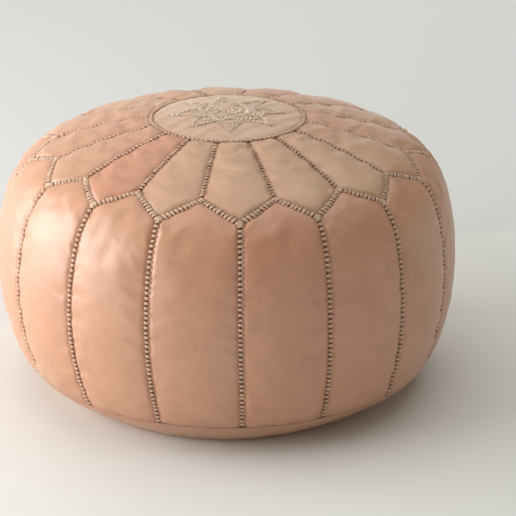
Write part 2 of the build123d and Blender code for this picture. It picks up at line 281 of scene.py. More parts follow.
def simulatePanels():
    # All panels as one welded grid; returns how far each grid's points moved along the cover's normal
    across = np.linspace(0, 1, swelling["across"] + 1)
    plans = [(sidePlan, k, swelling["sideDown"]) for k in range(form["panels"])]
    plans += [(topPlan, k, swelling["topDown"]) for k in range(form["panels"])]
    blocks, faces, rest, held, shapes, start = [], [], [], [], [], 0
    for plan, k, rows in plans:
        turn, run = plan(k, across, np.linspace(0, 1, rows + 1))
        edge = np.ones(turn.shape, bool)
        edge[1:-1, 1:-1] = False
        blocks.append(onCover(turn, run, np.where(edge, 0, unevenness(turn, run, k))).reshape(-1, 3))
        rest.append(normalOf(turn, run).reshape(-1, 3))
        held.append(edge.ravel())
        faces.append(gridFaces(*turn.shape) + start)
        shapes.append(turn.shape)
        start += turn.size
    points = np.concatenate(blocks)
    _, first, weld = np.unique(np.round(points * 1e5).astype(int), axis=0, return_index=True, return_inverse=True)
    weld = weld.ravel()
    heldPoints = np.concatenate(held)[first]
    piece = makeMesh("simulatedCover", points[first], [weld[np.concatenate(faces)]])
    pins = piece.vertex_groups.new(name="seams")
    pins.add([int(i) for i in np.flatnonzero(heldPoints)], 1.0, "REPLACE")
    cloth = piece.modifiers.new("cloth", "CLOTH")
    settings = cloth.settings
    settings.vertex_group_mass = "seams"
    settings.quality = 5
    settings.mass = 0.4
    settings.tension_stiffness = 25
    settings.compression_stiffness = 25
    settings.shear_stiffness = 12
    settings.bending_stiffness = 1.5
    settings.shrink_min = -swelling["growth"]
    settings.use_pressure = True
    settings.uniform_pressure_force = swelling["pressure"]
    settings.effector_weights.gravity = 0
    cloth.collision_settings.use_collision = False
    cloth.point_cache.frame_start = 1
    cloth.point_cache.frame_end = swelling["frames"]
    for step in range(1, swelling["frames"] + 1):
        bpy.context.scene.frame_set(step)
    evaluated = piece.evaluated_get(bpy.context.evaluated_depsgraph_get())
    settled = np.zeros(len(first) * 3, np.float32)
    evaluated.data.vertices.foreach_get("co", settled)
    bpy.context.scene.frame_set(1)
    moved = settled.reshape(-1, 3)[weld] - points[first][weld]
    lift = (moved * np.concatenate(rest)).sum(axis=1)
    bpy.data.objects.remove(piece)
    lift = swelling["cap"] * np.tanh(lift / swelling["cap"])
    splits = np.cumsum([rows * columns for rows, columns in shapes])[:-1]
    return [part.reshape(shape) for part, shape in zip(np.split(lift, splits), shapes)]


def resampled(values, rows, columns):
    # Values on an even grid read at new rows and columns, by a cubic through the four nearest points
    def weights(positions, count):
        at = positions * (count - 1)
        cell = np.clip(np.floor(at).astype(int), 0, count - 2)
        t = (at - cell)[:, None]
        cubic = np.hstack([-t + 2 * t**2 - t**3, 2 - 5 * t**2 + 3 * t**3, t + 4 * t**2 - 3 * t**3, t**3 - t**2]) / 2
        table = np.zeros((len(positions), count))
        for step in range(4):
            np.add.at(table, (np.arange(len(at)), np.clip(cell + step - 1, 0, count - 1)), cubic[:, step])
        return table
    return weights(rows, values.shape[0]) @ values @ weights(columns, values.shape[1]).T


print("swelling the panels")
lifts = simulatePanels()
print("largest lift of a side panel", round(float(lifts[0].max()) * 1000, 1), "mm, of a top panel",
      round(float(lifts[form["panels"]].max()) * 1000, 1), "mm")

# Materials


def addNode(tree, kind, links=None, **settings):
    # One shader node: settings that name an input set its value, the others set the node itself
    node = tree.nodes.new(kind)
    inputs = {}
    for key, value in settings.items():
        if key.startswith("in_"):
            inputs[key[3:]] = value
        else:
            setattr(node, key, value)
    for key, value in inputs.items():
        socket = node.inputs[int(key)] if key.isdigit() else node.inputs[key.replace("_", " ")]
        socket.default_value = value
    for key, source in (links or {}).items():
        target = node.inputs[key]
        tree.links.new(source, target)
    return node


def newMaterial(name):
    material = bpy.data.materials.new(name)
    material.use_nodes = True
    tree = material.node_tree
    return material, tree, tree.nodes["Principled BSDF"]


def ramp(tree, source, stops):
    # A colour ramp from (position, colour) pairs; a number stands for a grey
    node = addNode(tree, "ShaderNodeValToRGB", {"Fac": source})
    elements = node.color_ramp.elements
    while len(elements) < len(stops):
        elements.new(0.5)
    for element, (position, colour) in zip(elements, stops):
        element.position = position
        element.color = hexColour(colour) if isinstance(colour, str) else (colour, colour, colour, 1)
    return node.outputs["Color"]


def mixColours(tree, factor, first, second, blend="MIX"):
    node = addNode(tree, "ShaderNodeMix", data_type="RGBA", blend_type=blend)
    for index, value in ((0, factor), (6, first), (7, second)):
        if isinstance(value, bpy.types.NodeSocket):
            tree.links.new(value, node.inputs[index])
        else:
            node.inputs[index].default_value = value
    return node.outputs[2]


def noise(tree, vector, millimetres, detail=3.0, roughness=0.5, distortion=0.0):
    # Noise whose blotches are about that many millimetres across
    node = addNode(tree, "ShaderNodeTexNoise", {"Vector": vector}, in_Scale=1000 / millimetres / 2,
                   in_Detail=detail, in_Roughness=roughness, in_Distortion=distortion)
    return node.outputs["Fac"]


leather = {
    "pale": "#DDBDA2", "tan": "#CEA483", "rose": "#CE9576", "pink": "#CC8568", "brown": "#A8745A", "edge": "#A8755A",
    "roughness": 0.43,
    # sizes in millimetres
    "pore": 0.9, "grain": 3.2, "speckle": 5, "crease": 24.0, "mottle": 26.0, "polish": 30, "blotch": 80.0,
    "burnishAndShadeReach": 14.0,        # how far the seams' darkening reaches: burnish and dirt, and painted shade in the crease
}


def vegetableTannedLeather():
    # Undyed vegetable-tanned goatskin, hand burnished: mottled pink and tan, fine pores, a soft waxy sheen.
    # The attributes are "tint", one skin's leaning from tan (0) to pink (1), and "seam", the distance
    # to a seam in millimetres.
    material, tree, shader = newMaterial("vegetableTannedLeather")
    spot = addNode(tree, "ShaderNodeTexCoord").outputs["Object"]
    tint = addNode(tree, "ShaderNodeAttribute", attribute_name="tint").outputs["Fac"]
    seam = addNode(tree, "ShaderNodeAttribute", attribute_name="seam").outputs["Fac"]
    # colour: each skin's own shade, wandering a little in cloudy patches from the tanning
    cloud = noise(tree, spot, leather["blotch"], 3, 0.5, 0.3)
    shifted = addNode(tree, "ShaderNodeMath", {0: cloud, 2: tint}, operation="MULTIPLY_ADD", in_1=0.5).outputs[0]
    shades = [(0.0, leather["pale"]), (0.22, leather["tan"]), (0.62, leather["rose"]), (1.0, leather["pink"])]
    base = ramp(tree, shifted, shades)
    mottle = ramp(tree, noise(tree, spot, leather["mottle"], 5, 0.6, 0.6), [(0.46, 0.0), (0.75, 0.28)])
    base = mixColours(tree, mottle, base, hexColour(leather["brown"]))
    fine = ramp(tree, noise(tree, spot, leather["speckle"], 4, 0.7), [(0.3, 0.95), (0.7, 1.03)])
    base = mixColours(tree, 1.0, base, fine, "MULTIPLY")
    # darker along the seams: partly burnish and soiling, partly painted shade in the seams' creases
    near = addNode(tree, "ShaderNodeMath", {0: seam}, operation="DIVIDE", in_1=leather["burnishAndShadeReach"]).outputs[0]
    near = ramp(tree, near, [(0.0, 0.6), (0.2, 0.3), (0.45, 0.06), (1.0, 0.0)])
    base = mixColours(tree, near, base, hexColour(leather["edge"]))
    tree.links.new(base, shader.inputs["Base Color"])
    # surface: grain pebbles, pores and a few soft creases
    pores = addNode(tree, "ShaderNodeTexVoronoi", {"Vector": spot}, feature="DISTANCE_TO_EDGE",
                    in_Scale=1000 / leather["grain"], in_Randomness=1.0).outputs["Distance"]
    pebbles = ramp(tree, pores, [(0.0, 0.0), (0.12, 1.0)])
    bump = addNode(tree, "ShaderNodeBump", {"Height": pebbles}, in_Strength=0.1, in_Distance=0.0001)
    tiny = noise(tree, spot, leather["pore"], 2, 0.6)
    bump = addNode(tree, "ShaderNodeBump", {"Height": tiny, "Normal": bump.outputs[0]},
                   in_Strength=0.18, in_Distance=0.0001)
    soft = noise(tree, spot, leather["crease"], 3, 0.5, 1.2)
    bump = addNode(tree, "ShaderNodeBump", {"Height": soft, "Normal": bump.outputs[0]},
                   in_Strength=0.3, in_Distance=0.0005)
    tree.links.new(bump.outputs[0], shader.inputs["Normal"])
    patchy = noise(tree, spot, leather["polish"], 4, 0.6)
    gloss = ramp(tree, patchy, [(0.3, leather["roughness"] - 0.05), (0.7, leather["roughness"] + 0.08)])
    tree.links.new(gloss, shader.inputs["Roughness"])
    shader.inputs["IOR"].default_value = 1.5
    shader.inputs["Specular IOR Level"].default_value = 0.7
    shader.inputs["Coat Weight"].default_value = 0.4   # the wax, which whitens where light grazes it
    shader.inputs["Coat Roughness"].default_value = 0.42
    return material


thread = {
    "light": "#F6DAC0", "dark": "#C2906C",
    "pale": "#FFEFDE", "paleShade": "#EDCAA9",      # bleached, for the embroidery
    "crease": "#6E4836", "creaseShade": "#432A20",  # dark brown, painted shade of the base seam's crease
    "ply": 0.9,                                     # millimetres along a stitch from one ply to the next
}


def waxedThread(name, light, dark):
    # Waxed plied thread: the twist shows as slanting lines along each stitch. UV runs along and round it.
    material, tree, shader = newMaterial(name)
    uv = addNode(tree, "ShaderNodeUVMap", uv_map="UVMap").outputs["UV"]
    tint = addNode(tree, "ShaderNodeAttribute", attribute_name="tint").outputs["Fac"]
    twist = addNode(tree, "ShaderNodeTexWave", {"Vector": uv}, bands_direction="DIAGONAL",
                    in_Scale=2 * pi / 10 / thread["ply"], in_Distortion=1.0, in_Detail=1.0).outputs["Fac"]
    # the darker bands are painted shade in the grooves between the plies
    plies = ramp(tree, twist, [(0.0, dark), (0.45, light), (1.0, light)])
    shade = ramp(tree, tint, [(0.0, 0.84), (1.0, 1.06)])
    colour = mixColours(tree, 1.0, plies, shade, "MULTIPLY")
    tree.links.new(colour, shader.inputs["Base Color"])
    bump = addNode(tree, "ShaderNodeBump", {"Height": twist}, in_Strength=0.5, in_Distance=0.0003)
    tree.links.new(bump.outputs[0], shader.inputs["Normal"])
    shader.inputs["Roughness"].default_value = 0.62
    shader.inputs["Sheen Weight"].default_value = 0.15
    return material


def wovenCotton(name, light, dark, spacing):
    # Plain weave: two sets of threads that cross, spacing in millimetres
    material, tree, shader = newMaterial(name)
    spot = addNode(tree, "ShaderNodeTexCoord").outputs["Object"]
    scale = 1000 * pi / 10 / spacing
    warp = addNode(tree, "ShaderNodeTexWave", {"Vector": spot}, bands_direction="X", in_Scale=scale).outputs["Fac"]
    weft = addNode(tree, "ShaderNodeTexWave", {"Vector": spot}, bands_direction="Y", in_Scale=scale).outputs["Fac"]
    weave = addNode(tree, "ShaderNodeMath", {0: warp, 1: weft}, operation="MULTIPLY").outputs[0]
    colour = ramp(tree, weave, [(0.0, dark), (0.6, light)])
    slubs = ramp(tree, noise(tree, spot, 12, 3), [(0.3, 0.88), (0.7, 1.05)])
    tree.links.new(mixColours(tree, 1.0, colour, slubs, "MULTIPLY"), shader.inputs["Base Color"])
    bump = addNode(tree, "ShaderNodeBump", {"Height": weave}, in_Strength=0.5, in_Distance=0.0002)
    tree.links.new(bump.outputs[0], shader.inputs["Normal"])
    shader.inputs["Roughness"].default_value = 0.85
    shader.inputs["Sheen Weight"].default_value = 0.2
    return material


def cardedCotton():
    # Loose cotton waste: fibres in every direction, so no gloss and a lumpy, uneven white
    material, tree, shader = newMaterial("cardedCotton")
    spot = addNode(tree, "ShaderNodeTexCoord").outputs["Object"]
    fibres = noise(tree, spot, 4, 6, 0.75, 2.5)
    tree.links.new(ramp(tree, fibres, [(0.25, "#BDB2A0"), (0.7, "#E9E2D4")]), shader.inputs["Base Color"])
    bump = addNode(tree, "ShaderNodeBump", {"Height": fibres}, in_Strength=0.8, in_Distance=0.002)
    tree.links.new(bump.outputs[0], shader.inputs["Normal"])
    shader.inputs["Roughness"].default_value = 0.95
    shader.inputs["Sheen Weight"].default_value = 0.4
    return material


def castBrass():
    # Die-cast brass of a zip, tumbled and a little tarnished
    material, tree, shader = newMaterial("castBrass")
    spot = addNode(tree, "ShaderNodeTexCoord").outputs["Object"]
    tarnish = noise(tree, spot, 3, 4, 0.6)
    tree.links.new(ramp(tree, tarnish, [(0.3, "#8C6A34"), (0.7, "#C9A562")]), shader.inputs["Base Color"])
    tree.links.new(ramp(tree, tarnish, [(0.3, 0.48), (0.7, 0.3)]), shader.inputs["Roughness"])
    tumbled = noise(tree, spot, 0.5, 2)
    bump = addNode(tree, "ShaderNodeBump", {"Height": tumbled}, in_Strength=0.15, in_Distance=0.0001)
    tree.links.new(bump.outputs[0], shader.inputs["Normal"])
    shader.inputs["Metallic"].default_value = 1.0
    return material


print("making materials")
leatherMaterial = vegetableTannedLeather()
threadMaterial = waxedThread("waxedThread", thread["light"], thread["dark"])
paleThreadMaterial = waxedThread("bleachedThread", thread["pale"], thread["paleShade"])
creaseThreadMaterial = waxedThread("waxedThreadInCrease", thread["crease"], thread["creaseShade"])
bagMaterial = wovenCotton("unbleachedCottonCloth", "#D8CFBD", "#A79B86", 0.9)
tapeMaterial = wovenCotton("wovenZipTape", "#8A6A50", "#5C4534", 0.6)
stuffingMaterial = cardedCotton()
brassMaterial = castBrass()

# The leather panels. Each is the swollen form, drawn in at its edges where the seams pull it down.

seamShape = {
    "depth": 0.0032,       # how far a panel's edge is drawn in
    "width": 0.0085,       # how far from the seam that starts
    "gap": 0.00025,        # half the gap between two panels
    "stitchPitch": 0.0057,
    "stitchReach": 0.0036, # from the seam to a stitch's holes
    "dimple": 0.0005,
    "topDip": (0.0026, 0.008),      # depth and width beside the seams between top panels
    "ringDip": (0.0022, 0.006),     # the same at the medallion
    "baseDip": (0.0040, 0.007),     # and at the base seam
    "zigzagRadius": 0.218,          # about how far the zigzag runs from the axis
    "sideWidth": 0.1,               # rough widths of the panels
    "topWidth": 0.062,
}
pitchSide = (seamRun - valleyRun) / round((seamRun - valleyRun) / seamShape["stitchPitch"])


def drawnIn(distance, depth=seamShape["depth"], width=seamShape["width"]):
    # How far the leather dips at a distance from a seam: a power curve that starts level at width
    return depth * (1 - np.clip(distance / width, 0, 1)) ** 2.1


def creaseShade(turn):
    # Distances from the base seam count for less, so its crease gets more painted shade, unevenly round the pouf
    return 0.30 + 0.12 * np.sin(turn * 5 + 2 * np.sin(turn * 3))


def gradedAcross(width, middleCells):
    # Positions across a panel as shares of its width: close together at both edges, even between
    edge = np.array([0, 0.5, 1.1, 1.8, 2.6, 3.5, 4.6, 5.9, 7.5, 9.5]) / 1000 / width
    middle = np.linspace(edge[-1], 1 - edge[-1], middleCells)
    return np.concatenate([edge, middle[1:-1], 1 - edge[::-1]])


def pucker(distance, along, seed):
    # Short creases that run off a seam between its stitches, fading within a few centimetres;
    # their spacing wanders because two waves of unlike length make it
    wave = np.sin(along * 2 * pi / 0.017 + seed + 1.5 * np.sin(along * 2 * pi / 0.061 + seed))
    reach = 0.5 + 0.5 * np.sin(along * 2 * pi / 0.093 + 2.3 * seed)
    return 0.0005 * wave * reach * np.exp(-distance / 0.011) * np.clip(distance / 0.003, 0, 1)


def junctionFolds(x, y, directions, seed, strength):
    # Folds that fan out from a corner where seams meet: ridges along a few directions, fading with distance
    distance = np.hypot(x, y) + 1e-6
    angle = np.arctan2(y, x)
    total = np.zeros_like(x)
    for order, direction in enumerate(directions):
        sway = direction + 0.12 * np.sin(seed * (order + 1.7))
        total += np.exp(-((angle - sway) / 0.17) ** 2) * (0.6 + 0.4 * np.sin(seed + 2.2 * order))
    return strength * total * np.exp(-distance / 0.026) * np.clip(distance / 0.009, 0, 1)


def stitchDimples(distance, along, pitch):
    # A small dent where each stitch goes through the leather
    phase = (along / pitch) % 1 - 0.5
    ring = np.exp(-((distance - seamShape["stitchReach"]) / 0.0011) ** 2)
    return seamShape["dimple"] * ring * np.exp(-((phase * pitch) / 0.0013) ** 2)


def segmentDistance(turn, run, first, second):
    # Distance on the unrolled cover from points to the line between two corners of the zigzag, each (turn, run),
    # and the distance along it
    radius = seamShape["zigzagRadius"]
    x, y = (turn - first[0]) * radius, run - first[1]
    dx, dy = (second[0] - first[0]) * radius, second[1] - first[1]
    length = np.hypot(dx, dy)
    along = np.clip((x * dx + y * dy) / length**2, 0, 1)
    return np.hypot(x - along * dx, y - along * dy), along * length


# How far each skin leans from tan to pink, anticlockwise from the front: the sewer's mix of skins
skinTints = {
    "side": [0.36, 0.34, 0.26, 0.30, 0.40, 0.28, 0.44, 0.34, 0.24, 0.42, 0.30, 0.36, 0.30, 0.34, 0.30, 0.32],
    "top": [-0.02, 0.02, 0.00, 0.10, 0.22, 0.04, 0.10, 0.26, 0.06, 0.14, 0.04, 0.18, 0.26, 0.20, 0.46, 0.00],
}


def insetPanel(turn, run, across):
    # Columns drawn in by half the gap at both side seams, and each point's distance to the two
    radius = onProfile(run)[0]
    half = 0.5 * (turn[:, -1:] - turn[:, :1])
    middle = turn[:, :1] + half
    turn = middle + (turn - middle) * (1 - seamShape["gap"] / (half * radius))
    return turn, across * 2 * half * radius, (1 - across) * 2 * half * radius


def panelPiece(kind, k, turn, run, lift, seamDistance):
    points = onCover(turn, run, lift)
    step = np.linalg.norm(np.diff(points, axis=1), axis=2).mean()
    drop = np.linalg.norm(np.diff(points, axis=0), axis=2).mean()
    columns, rows = np.meshgrid(np.arange(turn.shape[1]) * step, np.arange(turn.shape[0]) * drop)
    attributes = {"seam": seamDistance * 1000, "tint": np.full(turn.shape, skinTints[kind][k])}
    uv = np.stack([columns, rows], axis=-1)
    piece = makeMesh(f"{kind}Panel{k + 1:02d}", points, [gridFaces(*turn.shape)], uv, attributes)
    addThickness(piece, form["leather"])
    place(piece, leatherMaterial, "leather", f"{kind}_panel_{k + 1:02d}")


def sidePanel(k):
    across = gradedAcross(seamShape["sideWidth"], 15)
    down = np.linspace(0, 1, 150)
    down = np.concatenate([[0, 0.0022, 0.0045], down[1:-1], [0.9968, 0.9986, 1]])
    turn, run = sidePlan(k, across, down)
    nextSeam = (k + 1) % form["panels"]
    radius = onProfile(run)[0]
    turn, toLeft, toRight = insetPanel(turn, run, across)
    peak, right = unwrapped(valleyTurn[k], peakTurn[k]), unwrapped(valleyTurn[k], valleyTurn[nextSeam])
    toTopLeft, alongLeft = segmentDistance(turn, run, (valleyTurn[k], valleyRuns[k]), (peak, peakRuns[k]))
    toTopRight, alongRight = segmentDistance(turn, run, (right, valleyRuns[nextSeam]), (peak, peakRuns[k]))
    toTop = np.minimum(toTopLeft, toTopRight)
    toBase = seamRun - run
    lift = resampled(lifts[k], down, across)
    for distance in (toLeft, toRight, toTop):
        lift = lift - drawnIn(distance)
    lift -= drawnIn(toBase, *seamShape["baseDip"])
    lift = np.maximum(lift, -seamShape["depth"] * 1.15)
    seed = 1.0 + k * 2.4
    along = run - valleyRun
    lift += pucker(toLeft, along, seed) + pucker(toRight, along, seed + 2.4)
    lift += pucker(toTopLeft, alongLeft, seed + 0.8) + pucker(toTopRight, alongRight, seed + 1.9)
    lift += 1.3 * pucker(toBase, turn * radius, seed + 4)
    lift -= stitchDimples(toLeft, run - valleyRuns[k], pitchSide)
    lift -= stitchDimples(toRight, run - valleyRuns[nextSeam], pitchSide)
    # folds below the peak, and out of each valley
    lift += junctionFolds(run - peakRuns[k], (turn - peak) * radius, [-0.62, -0.2, 0.3, 0.75], seed, 0.0011)
    lift += junctionFolds(run - valleyRuns[k], (turn - valleyTurn[k]) * radius, [0.5, 1.2], seed + 1, 0.0008)
    lift += junctionFolds(run - valleyRuns[nextSeam], (right - turn) * radius, [0.45, 1.1], seed + 2, 0.0008)
    # distances to the base seam are shrunk, so painted shade darkens its crease
    seamDistance = np.minimum(np.minimum(toLeft, toRight), np.minimum(toTop, toBase * creaseShade(turn)))
    panelPiece("side", k, turn, run, lift, seamDistance)


def topPanel(k):
    across = gradedAcross(seamShape["topWidth"], 13)
    down = np.concatenate([[0, 0.005, 0.010], np.linspace(0, 1, 78)[1:-1], [0.992, 0.996, 1]])
    turn, run = topPlan(k, across, down)
    radius = onProfile(run)[0]
    before = (k - 1) % form["panels"]
    left, right = unwrapped(valleyTurn[k], peakTurn[before]), unwrapped(valleyTurn[k], peakTurn[k])
    valley = (valleyTurn[k], valleyRuns[k])
    toSeamLeft, alongLeft = segmentDistance(turn, run, valley, (left, peakRuns[before]))
    toSeamRight, alongRight = segmentDistance(turn, run, valley, (right, peakRuns[k]))
    turn, toLeft, toRight = insetPanel(turn, run, across)
    toRing = run - ringRun
    toOuter = np.minimum(toSeamLeft, toSeamRight)
    lift = resampled(lifts[form["panels"] + k], down, across)
    for distance, dip in ((toLeft, "topDip"), (toRight, "topDip"), (toRing, "ringDip")):
        lift = lift - drawnIn(distance, *seamShape[dip])
    lift = lift - drawnIn(toOuter)
    lift = np.maximum(lift, -seamShape["depth"] * 1.15)
    seed = 7.0 + k * 1.9
    lift += (pucker(toLeft, run, seed) + pucker(toRight, run, seed + 1.9)
             + pucker(toOuter, alongLeft + alongRight, seed))
    lift -= stitchDimples(toSeamLeft, alongLeft, seamShape["stitchPitch"] * 0.85)
    lift -= stitchDimples(toSeamRight, alongRight, seamShape["stitchPitch"] * 0.85)
    lift += junctionFolds(valleyRuns[k] - run, (turn - valleyTurn[k]) * radius, [-0.25, 0.3], seed, 0.0009)
    seamDistance = np.minimum(np.minimum(toLeft, toRight), np.minimum(toRing, toOuter))
    panelPiece("top", k, turn, run, lift, seamDistance)


print("side and top panels")
for panel in range(form["panels"]):
    sidePanel(panel)
    topPanel(panel)

# Stitches. Each is two strands side by side that bridge a seam and sink into the leather at both ends.

stitch = {
    "strandWidth": 0.0014, "strandHeight": 0.0011, "arch": 0.0011, "sink": 0.0011,
    "points": 7, "sides": 5,
    # lengths across each kind of seam
    "side": 0.0070, "sideLess": 0.0018, "chevron": 0.0086, "top": 0.0062, "knot": 0.0072, "ring": 0.0058,
    "base": 0.0060,
    "topPitch": 0.0052,
}


def tangentOf(turn, run):
    # Down the profile
    _, _, outX, outZ = onProfile(run)
    return np.stack(np.broadcast_arrays(outZ * np.cos(turn), outZ * np.sin(turn), -outX), axis=-1)


def aroundAxis(turn):
    # Level, anticlockwise round the pouf
    return np.stack([-np.sin(turn), np.cos(turn), 0 * turn], axis=-1)


def unit(vectors):
    return vectors / np.linalg.norm(vectors, axis=-1, keepdims=True)


def stitches(centres, direction, normal, length, ends, seed, width=1.0, arch=1.0, slant=0.0):
    # centres, direction and normal are one row for each stitch; ends is how high each end's leather lies along the
    # normal. A strand's middle line is a parabola over the seam, and its section an ellipse that narrows at the ends.
    random = np.random.default_rng(seed)
    count = len(centres)
    angle = (slant + random.normal(0, 0.07, count))[:, None]
    side = np.cross(normal, direction)
    bar = direction * np.cos(angle) + side * np.sin(angle)
    beside = np.cross(normal, bar)
    reach = (length * (1 + random.normal(0, 0.07, count)) / 2)[:, None, None, None]
    t = np.linspace(-1, 1, stitch["points"])
    around = np.arange(stitch["sides"]) * 2 * pi / stitch["sides"]
    strand = np.array([-0.5, 0.5])
    low, high = np.asarray(ends)[..., 0], np.asarray(ends)[..., 1]
    level = low[:, None] * (1 - t) / 2 + high[:, None] * (1 + t) / 2
    hump = stitch["arch"] * arch * (1 + random.normal(0, 0.1, count))[:, None] * (1 - t**2)
    level = level + hump - stitch["sink"] * np.abs(t) ** 5
    splay = strand[:, None] * stitch["strandWidth"] * width * (1.0 - 0.25 * t**2)
    shift = random.normal(0, 0.0002, count)[:, None, None]
    spread = (splay[None] + shift)[..., None, None]
    thick = (1 - 0.45 * np.abs(t) ** 3)[None, None, :, None, None]
    ring = (beside[:, None, None, None] * np.cos(around)[:, None] * stitch["strandWidth"] * width / 2
            + normal[:, None, None, None] * np.sin(around)[:, None] * stitch["strandHeight"] / 2)
    points = (centres[:, None, None, None] + bar[:, None, None, None] * (reach * t[None, None, :, None])[..., None]
              + normal[:, None, None, None] * level[:, None, :, None, None]
              + beside[:, None, None, None] * spread + ring * thick)
    tint = np.broadcast_to(random.uniform(0, 1, (count, 2))[:, :, None, None], points.shape[:-1])
    uv = np.stack(np.broadcast_arrays(reach * 1000 * t[None, None, :, None], around * 0.55), axis=-1)
    return points, np.broadcast_to(uv, (*points.shape[:-1], 2)), tint


def stitchPiece(name, parts, material, *nodes):
    # One mesh from several runs of stitches: rings joined by quads, with a cap at each end
    points = np.concatenate([p[0].reshape(-1, stitch["points"], stitch["sides"], 3) for p in parts])
    uv = np.concatenate([p[1].reshape(-1, 2) for p in parts])
    tint = np.concatenate([p[2].ravel() for p in parts])
    index = np.arange(points.size // 3).reshape(points.shape[:-1])
    turned = np.roll(index, -1, axis=2)
    quads = np.stack([index[:, :-1], turned[:, :-1], turned[:, 1:], index[:, 1:]], axis=-1).reshape(-1, 4)
    caps = np.concatenate([index[:, 0, ::-1], index[:, -1]])
    piece = makeMesh(name, points, [quads, caps], uv, {"tint": tint})
    return place(piece, material, "thread", *nodes)


def liftBeside(grid, rows, columns):
    # How high the leather lies at a stitch's holes, where a panel's swelling meets the drawn-in seam
    return resampled(grid, np.atleast_1d(rows), np.atleast_1d(columns)) - drawnIn(seamShape["stitchReach"])


def sideStitches(k):
    length = seamRun - valleyRuns[k]
    count = round(length / seamShape["stitchPitch"])
    down = (np.arange(count) + 0.5) / count
    run = valleyRuns[k] + down * length
    turn = valleyTurn[k] * (1 - down) + footTurn[k] * down
    before = (k - 1) % form["panels"]
    share = seamShape["stitchReach"] / seamShape["sideWidth"]
    ends = np.hstack([liftBeside(lifts[before], down, 1 - share), liftBeside(lifts[k], down, share)])
    direction = aroundAxis(turn)
    inside = (down > 0.008) & (down < 0.985)
    made = (onCover(turn, run), direction, normalOf(turn, run))
    made = [part[inside] for part in made]
    length = (stitch["side"] - stitch["sideLess"] * down)[inside]
    return stitches(*made, length, ends[inside], 100 + k, width=1.08)


def chevronStitches(k, half):
    # From valley to peak (half 0) or peak to the next valley (half 1)
    nextSeam = (k + 1) % form["panels"]
    peak = (unwrapped(valleyTurn[k], peakTurn[k]), peakRuns[k])
    if half == 0:
        start, end = (valleyTurn[k], valleyRuns[k]), peak
        above = k
        sideShare, topShare = (0.0, 0.5), (0.5, 1.0)
    else:
        start, end = peak, (unwrapped(valleyTurn[k], valleyTurn[nextSeam]), valleyRuns[nextSeam])
        above = nextSeam
        sideShare, topShare = (0.5, 1.0), (0.0, 0.5)
    count = 11
    t = (np.arange(count) + 0.5) / count
    turn = start[0] + (end[0] - start[0]) * t
    run = start[1] + (end[1] - start[1]) * t
    centres = onCover(turn, run)
    normal = normalOf(turn, run)
    along = unit(np.gradient(centres, axis=0))
    across = unit(np.cross(along, normal))
    sideLift = liftBeside(lifts[k], 0.018, sideShare[0] + (sideShare[1] - sideShare[0]) * t)[0]
    topColumns = topShare[0] + (topShare[1] - topShare[0]) * t
    topLift = liftBeside(lifts[form["panels"] + above], 0.975, topColumns)[0]
    ends = np.stack([topLift, sideLift], axis=-1)
    lean = 0.30 if half == 0 else -0.30
    size, seed = stitch["chevron"], 300 + 2 * k + half
    return stitches(centres, across, normal, size, ends, seed, width=1.18, arch=1.25, slant=lean)


# How far each top seam has swallowed its stitches, from proud (0) to hidden (1), chosen one by one
topSeamSunk = [0.9, 0.1, 0.2, 0.3, 0.5, 0.2, 0.6, 0.3, 0.1, 0.4, 0.7, 0.2, 0.3, 0.1, 0.0, 0.3]


def topSeamStitches(k):
    # Smaller stitches from the medallion out to a peak; some seams have swallowed theirs
    length = peakRuns[k] - ringRun
    count = round(length / stitch["topPitch"])
    down = (np.arange(count) + 0.5) / count
    run = ringRun + down * length
    after = (k + 1) % form["panels"]
    lineTurn, lineRun = topPlan(k, np.array([1.0]), down)
    turn, run = lineTurn[:, 0], lineRun[:, 0]
    share = seamShape["stitchReach"] / seamShape["topWidth"]
    left = resampled(lifts[form["panels"] + k], down, np.array([1 - share]))[:, 0]
    right = resampled(lifts[form["panels"] + after], down, np.array([share]))[:, 0]
    ends = np.stack([left, right], axis=-1) - drawnIn(0.0030, *seamShape["topDip"])
    nearPeak = np.clip((down - 0.72) / 0.15, 0, 1)
    ends -= (0.0015 * topSeamSunk[k] * (1 - nearPeak))[:, None]
    direction = aroundAxis(turn)
    inside = (down > 0.03) & (down < 0.975)
    made = [part[inside] for part in (onCover(turn, run), direction, normalOf(turn, run))]
    return stitches(*made, stitch["top"], ends[inside], 500 + k, width=0.9, arch=0.9, slant=0.15)


def junctionKnot(turn, run, seed):
    # Three crossing stitches over a corner, where the sewing changes direction
    turns = np.full(3, turn)
    runs = run + np.array([-0.0012, 0.0, 0.0014])
    centres, normal = onCover(turns, runs), normalOf(turns, runs)
    fan = np.array([0.5, 1.5, -0.6])[:, None]
    direction = aroundAxis(turns) * np.cos(fan) + tangentOf(turns, runs) * np.sin(fan)
    ends = np.full((3, 2), -0.0010)
    return stitches(centres, direction, normal, stitch["knot"], ends, seed, width=1.2, arch=1.4)


def ringStitches():
    count = 100
    turn = (np.arange(count) + 0.5) / count * 2 * pi
    run = np.full(count, ringRun)
    direction = tangentOf(turn, run)
    ends = np.full((count, 2), -0.0007)
    made = (onCover(turn, run), direction, normalOf(turn, run))
    return stitches(*made, stitch["ring"], ends, 700, width=1.05, arch=1.1, slant=0.35)


print("stitching the seams")
allSeams = range(form["panels"])
stitchPiece("sideSeamStitching", [sideStitches(k) for k in allSeams], threadMaterial, "side_seam_stitching")
chevrons = [chevronStitches(k, half) for k in allSeams for half in (0, 1)]
chevrons += [junctionKnot(peakTurn[k], peakRuns[k], 800 + k) for k in allSeams]
chevrons += [junctionKnot(valleyTurn[k], valleyRuns[k] + 0.001, 830 + k) for k in allSeams]
stitchPiece("chevronSeamStitching", chevrons, threadMaterial, "chevron_seam_stitching")
stitchPiece("topSeamStitching", [topSeamStitches(k) for k in allSeams], threadMaterial, "top_seam_stitching")
stitchPiece("medallionRingStitching", [ringStitches()], threadMaterial, "medallion_ring_stitching")

# Medallion and its embroidery

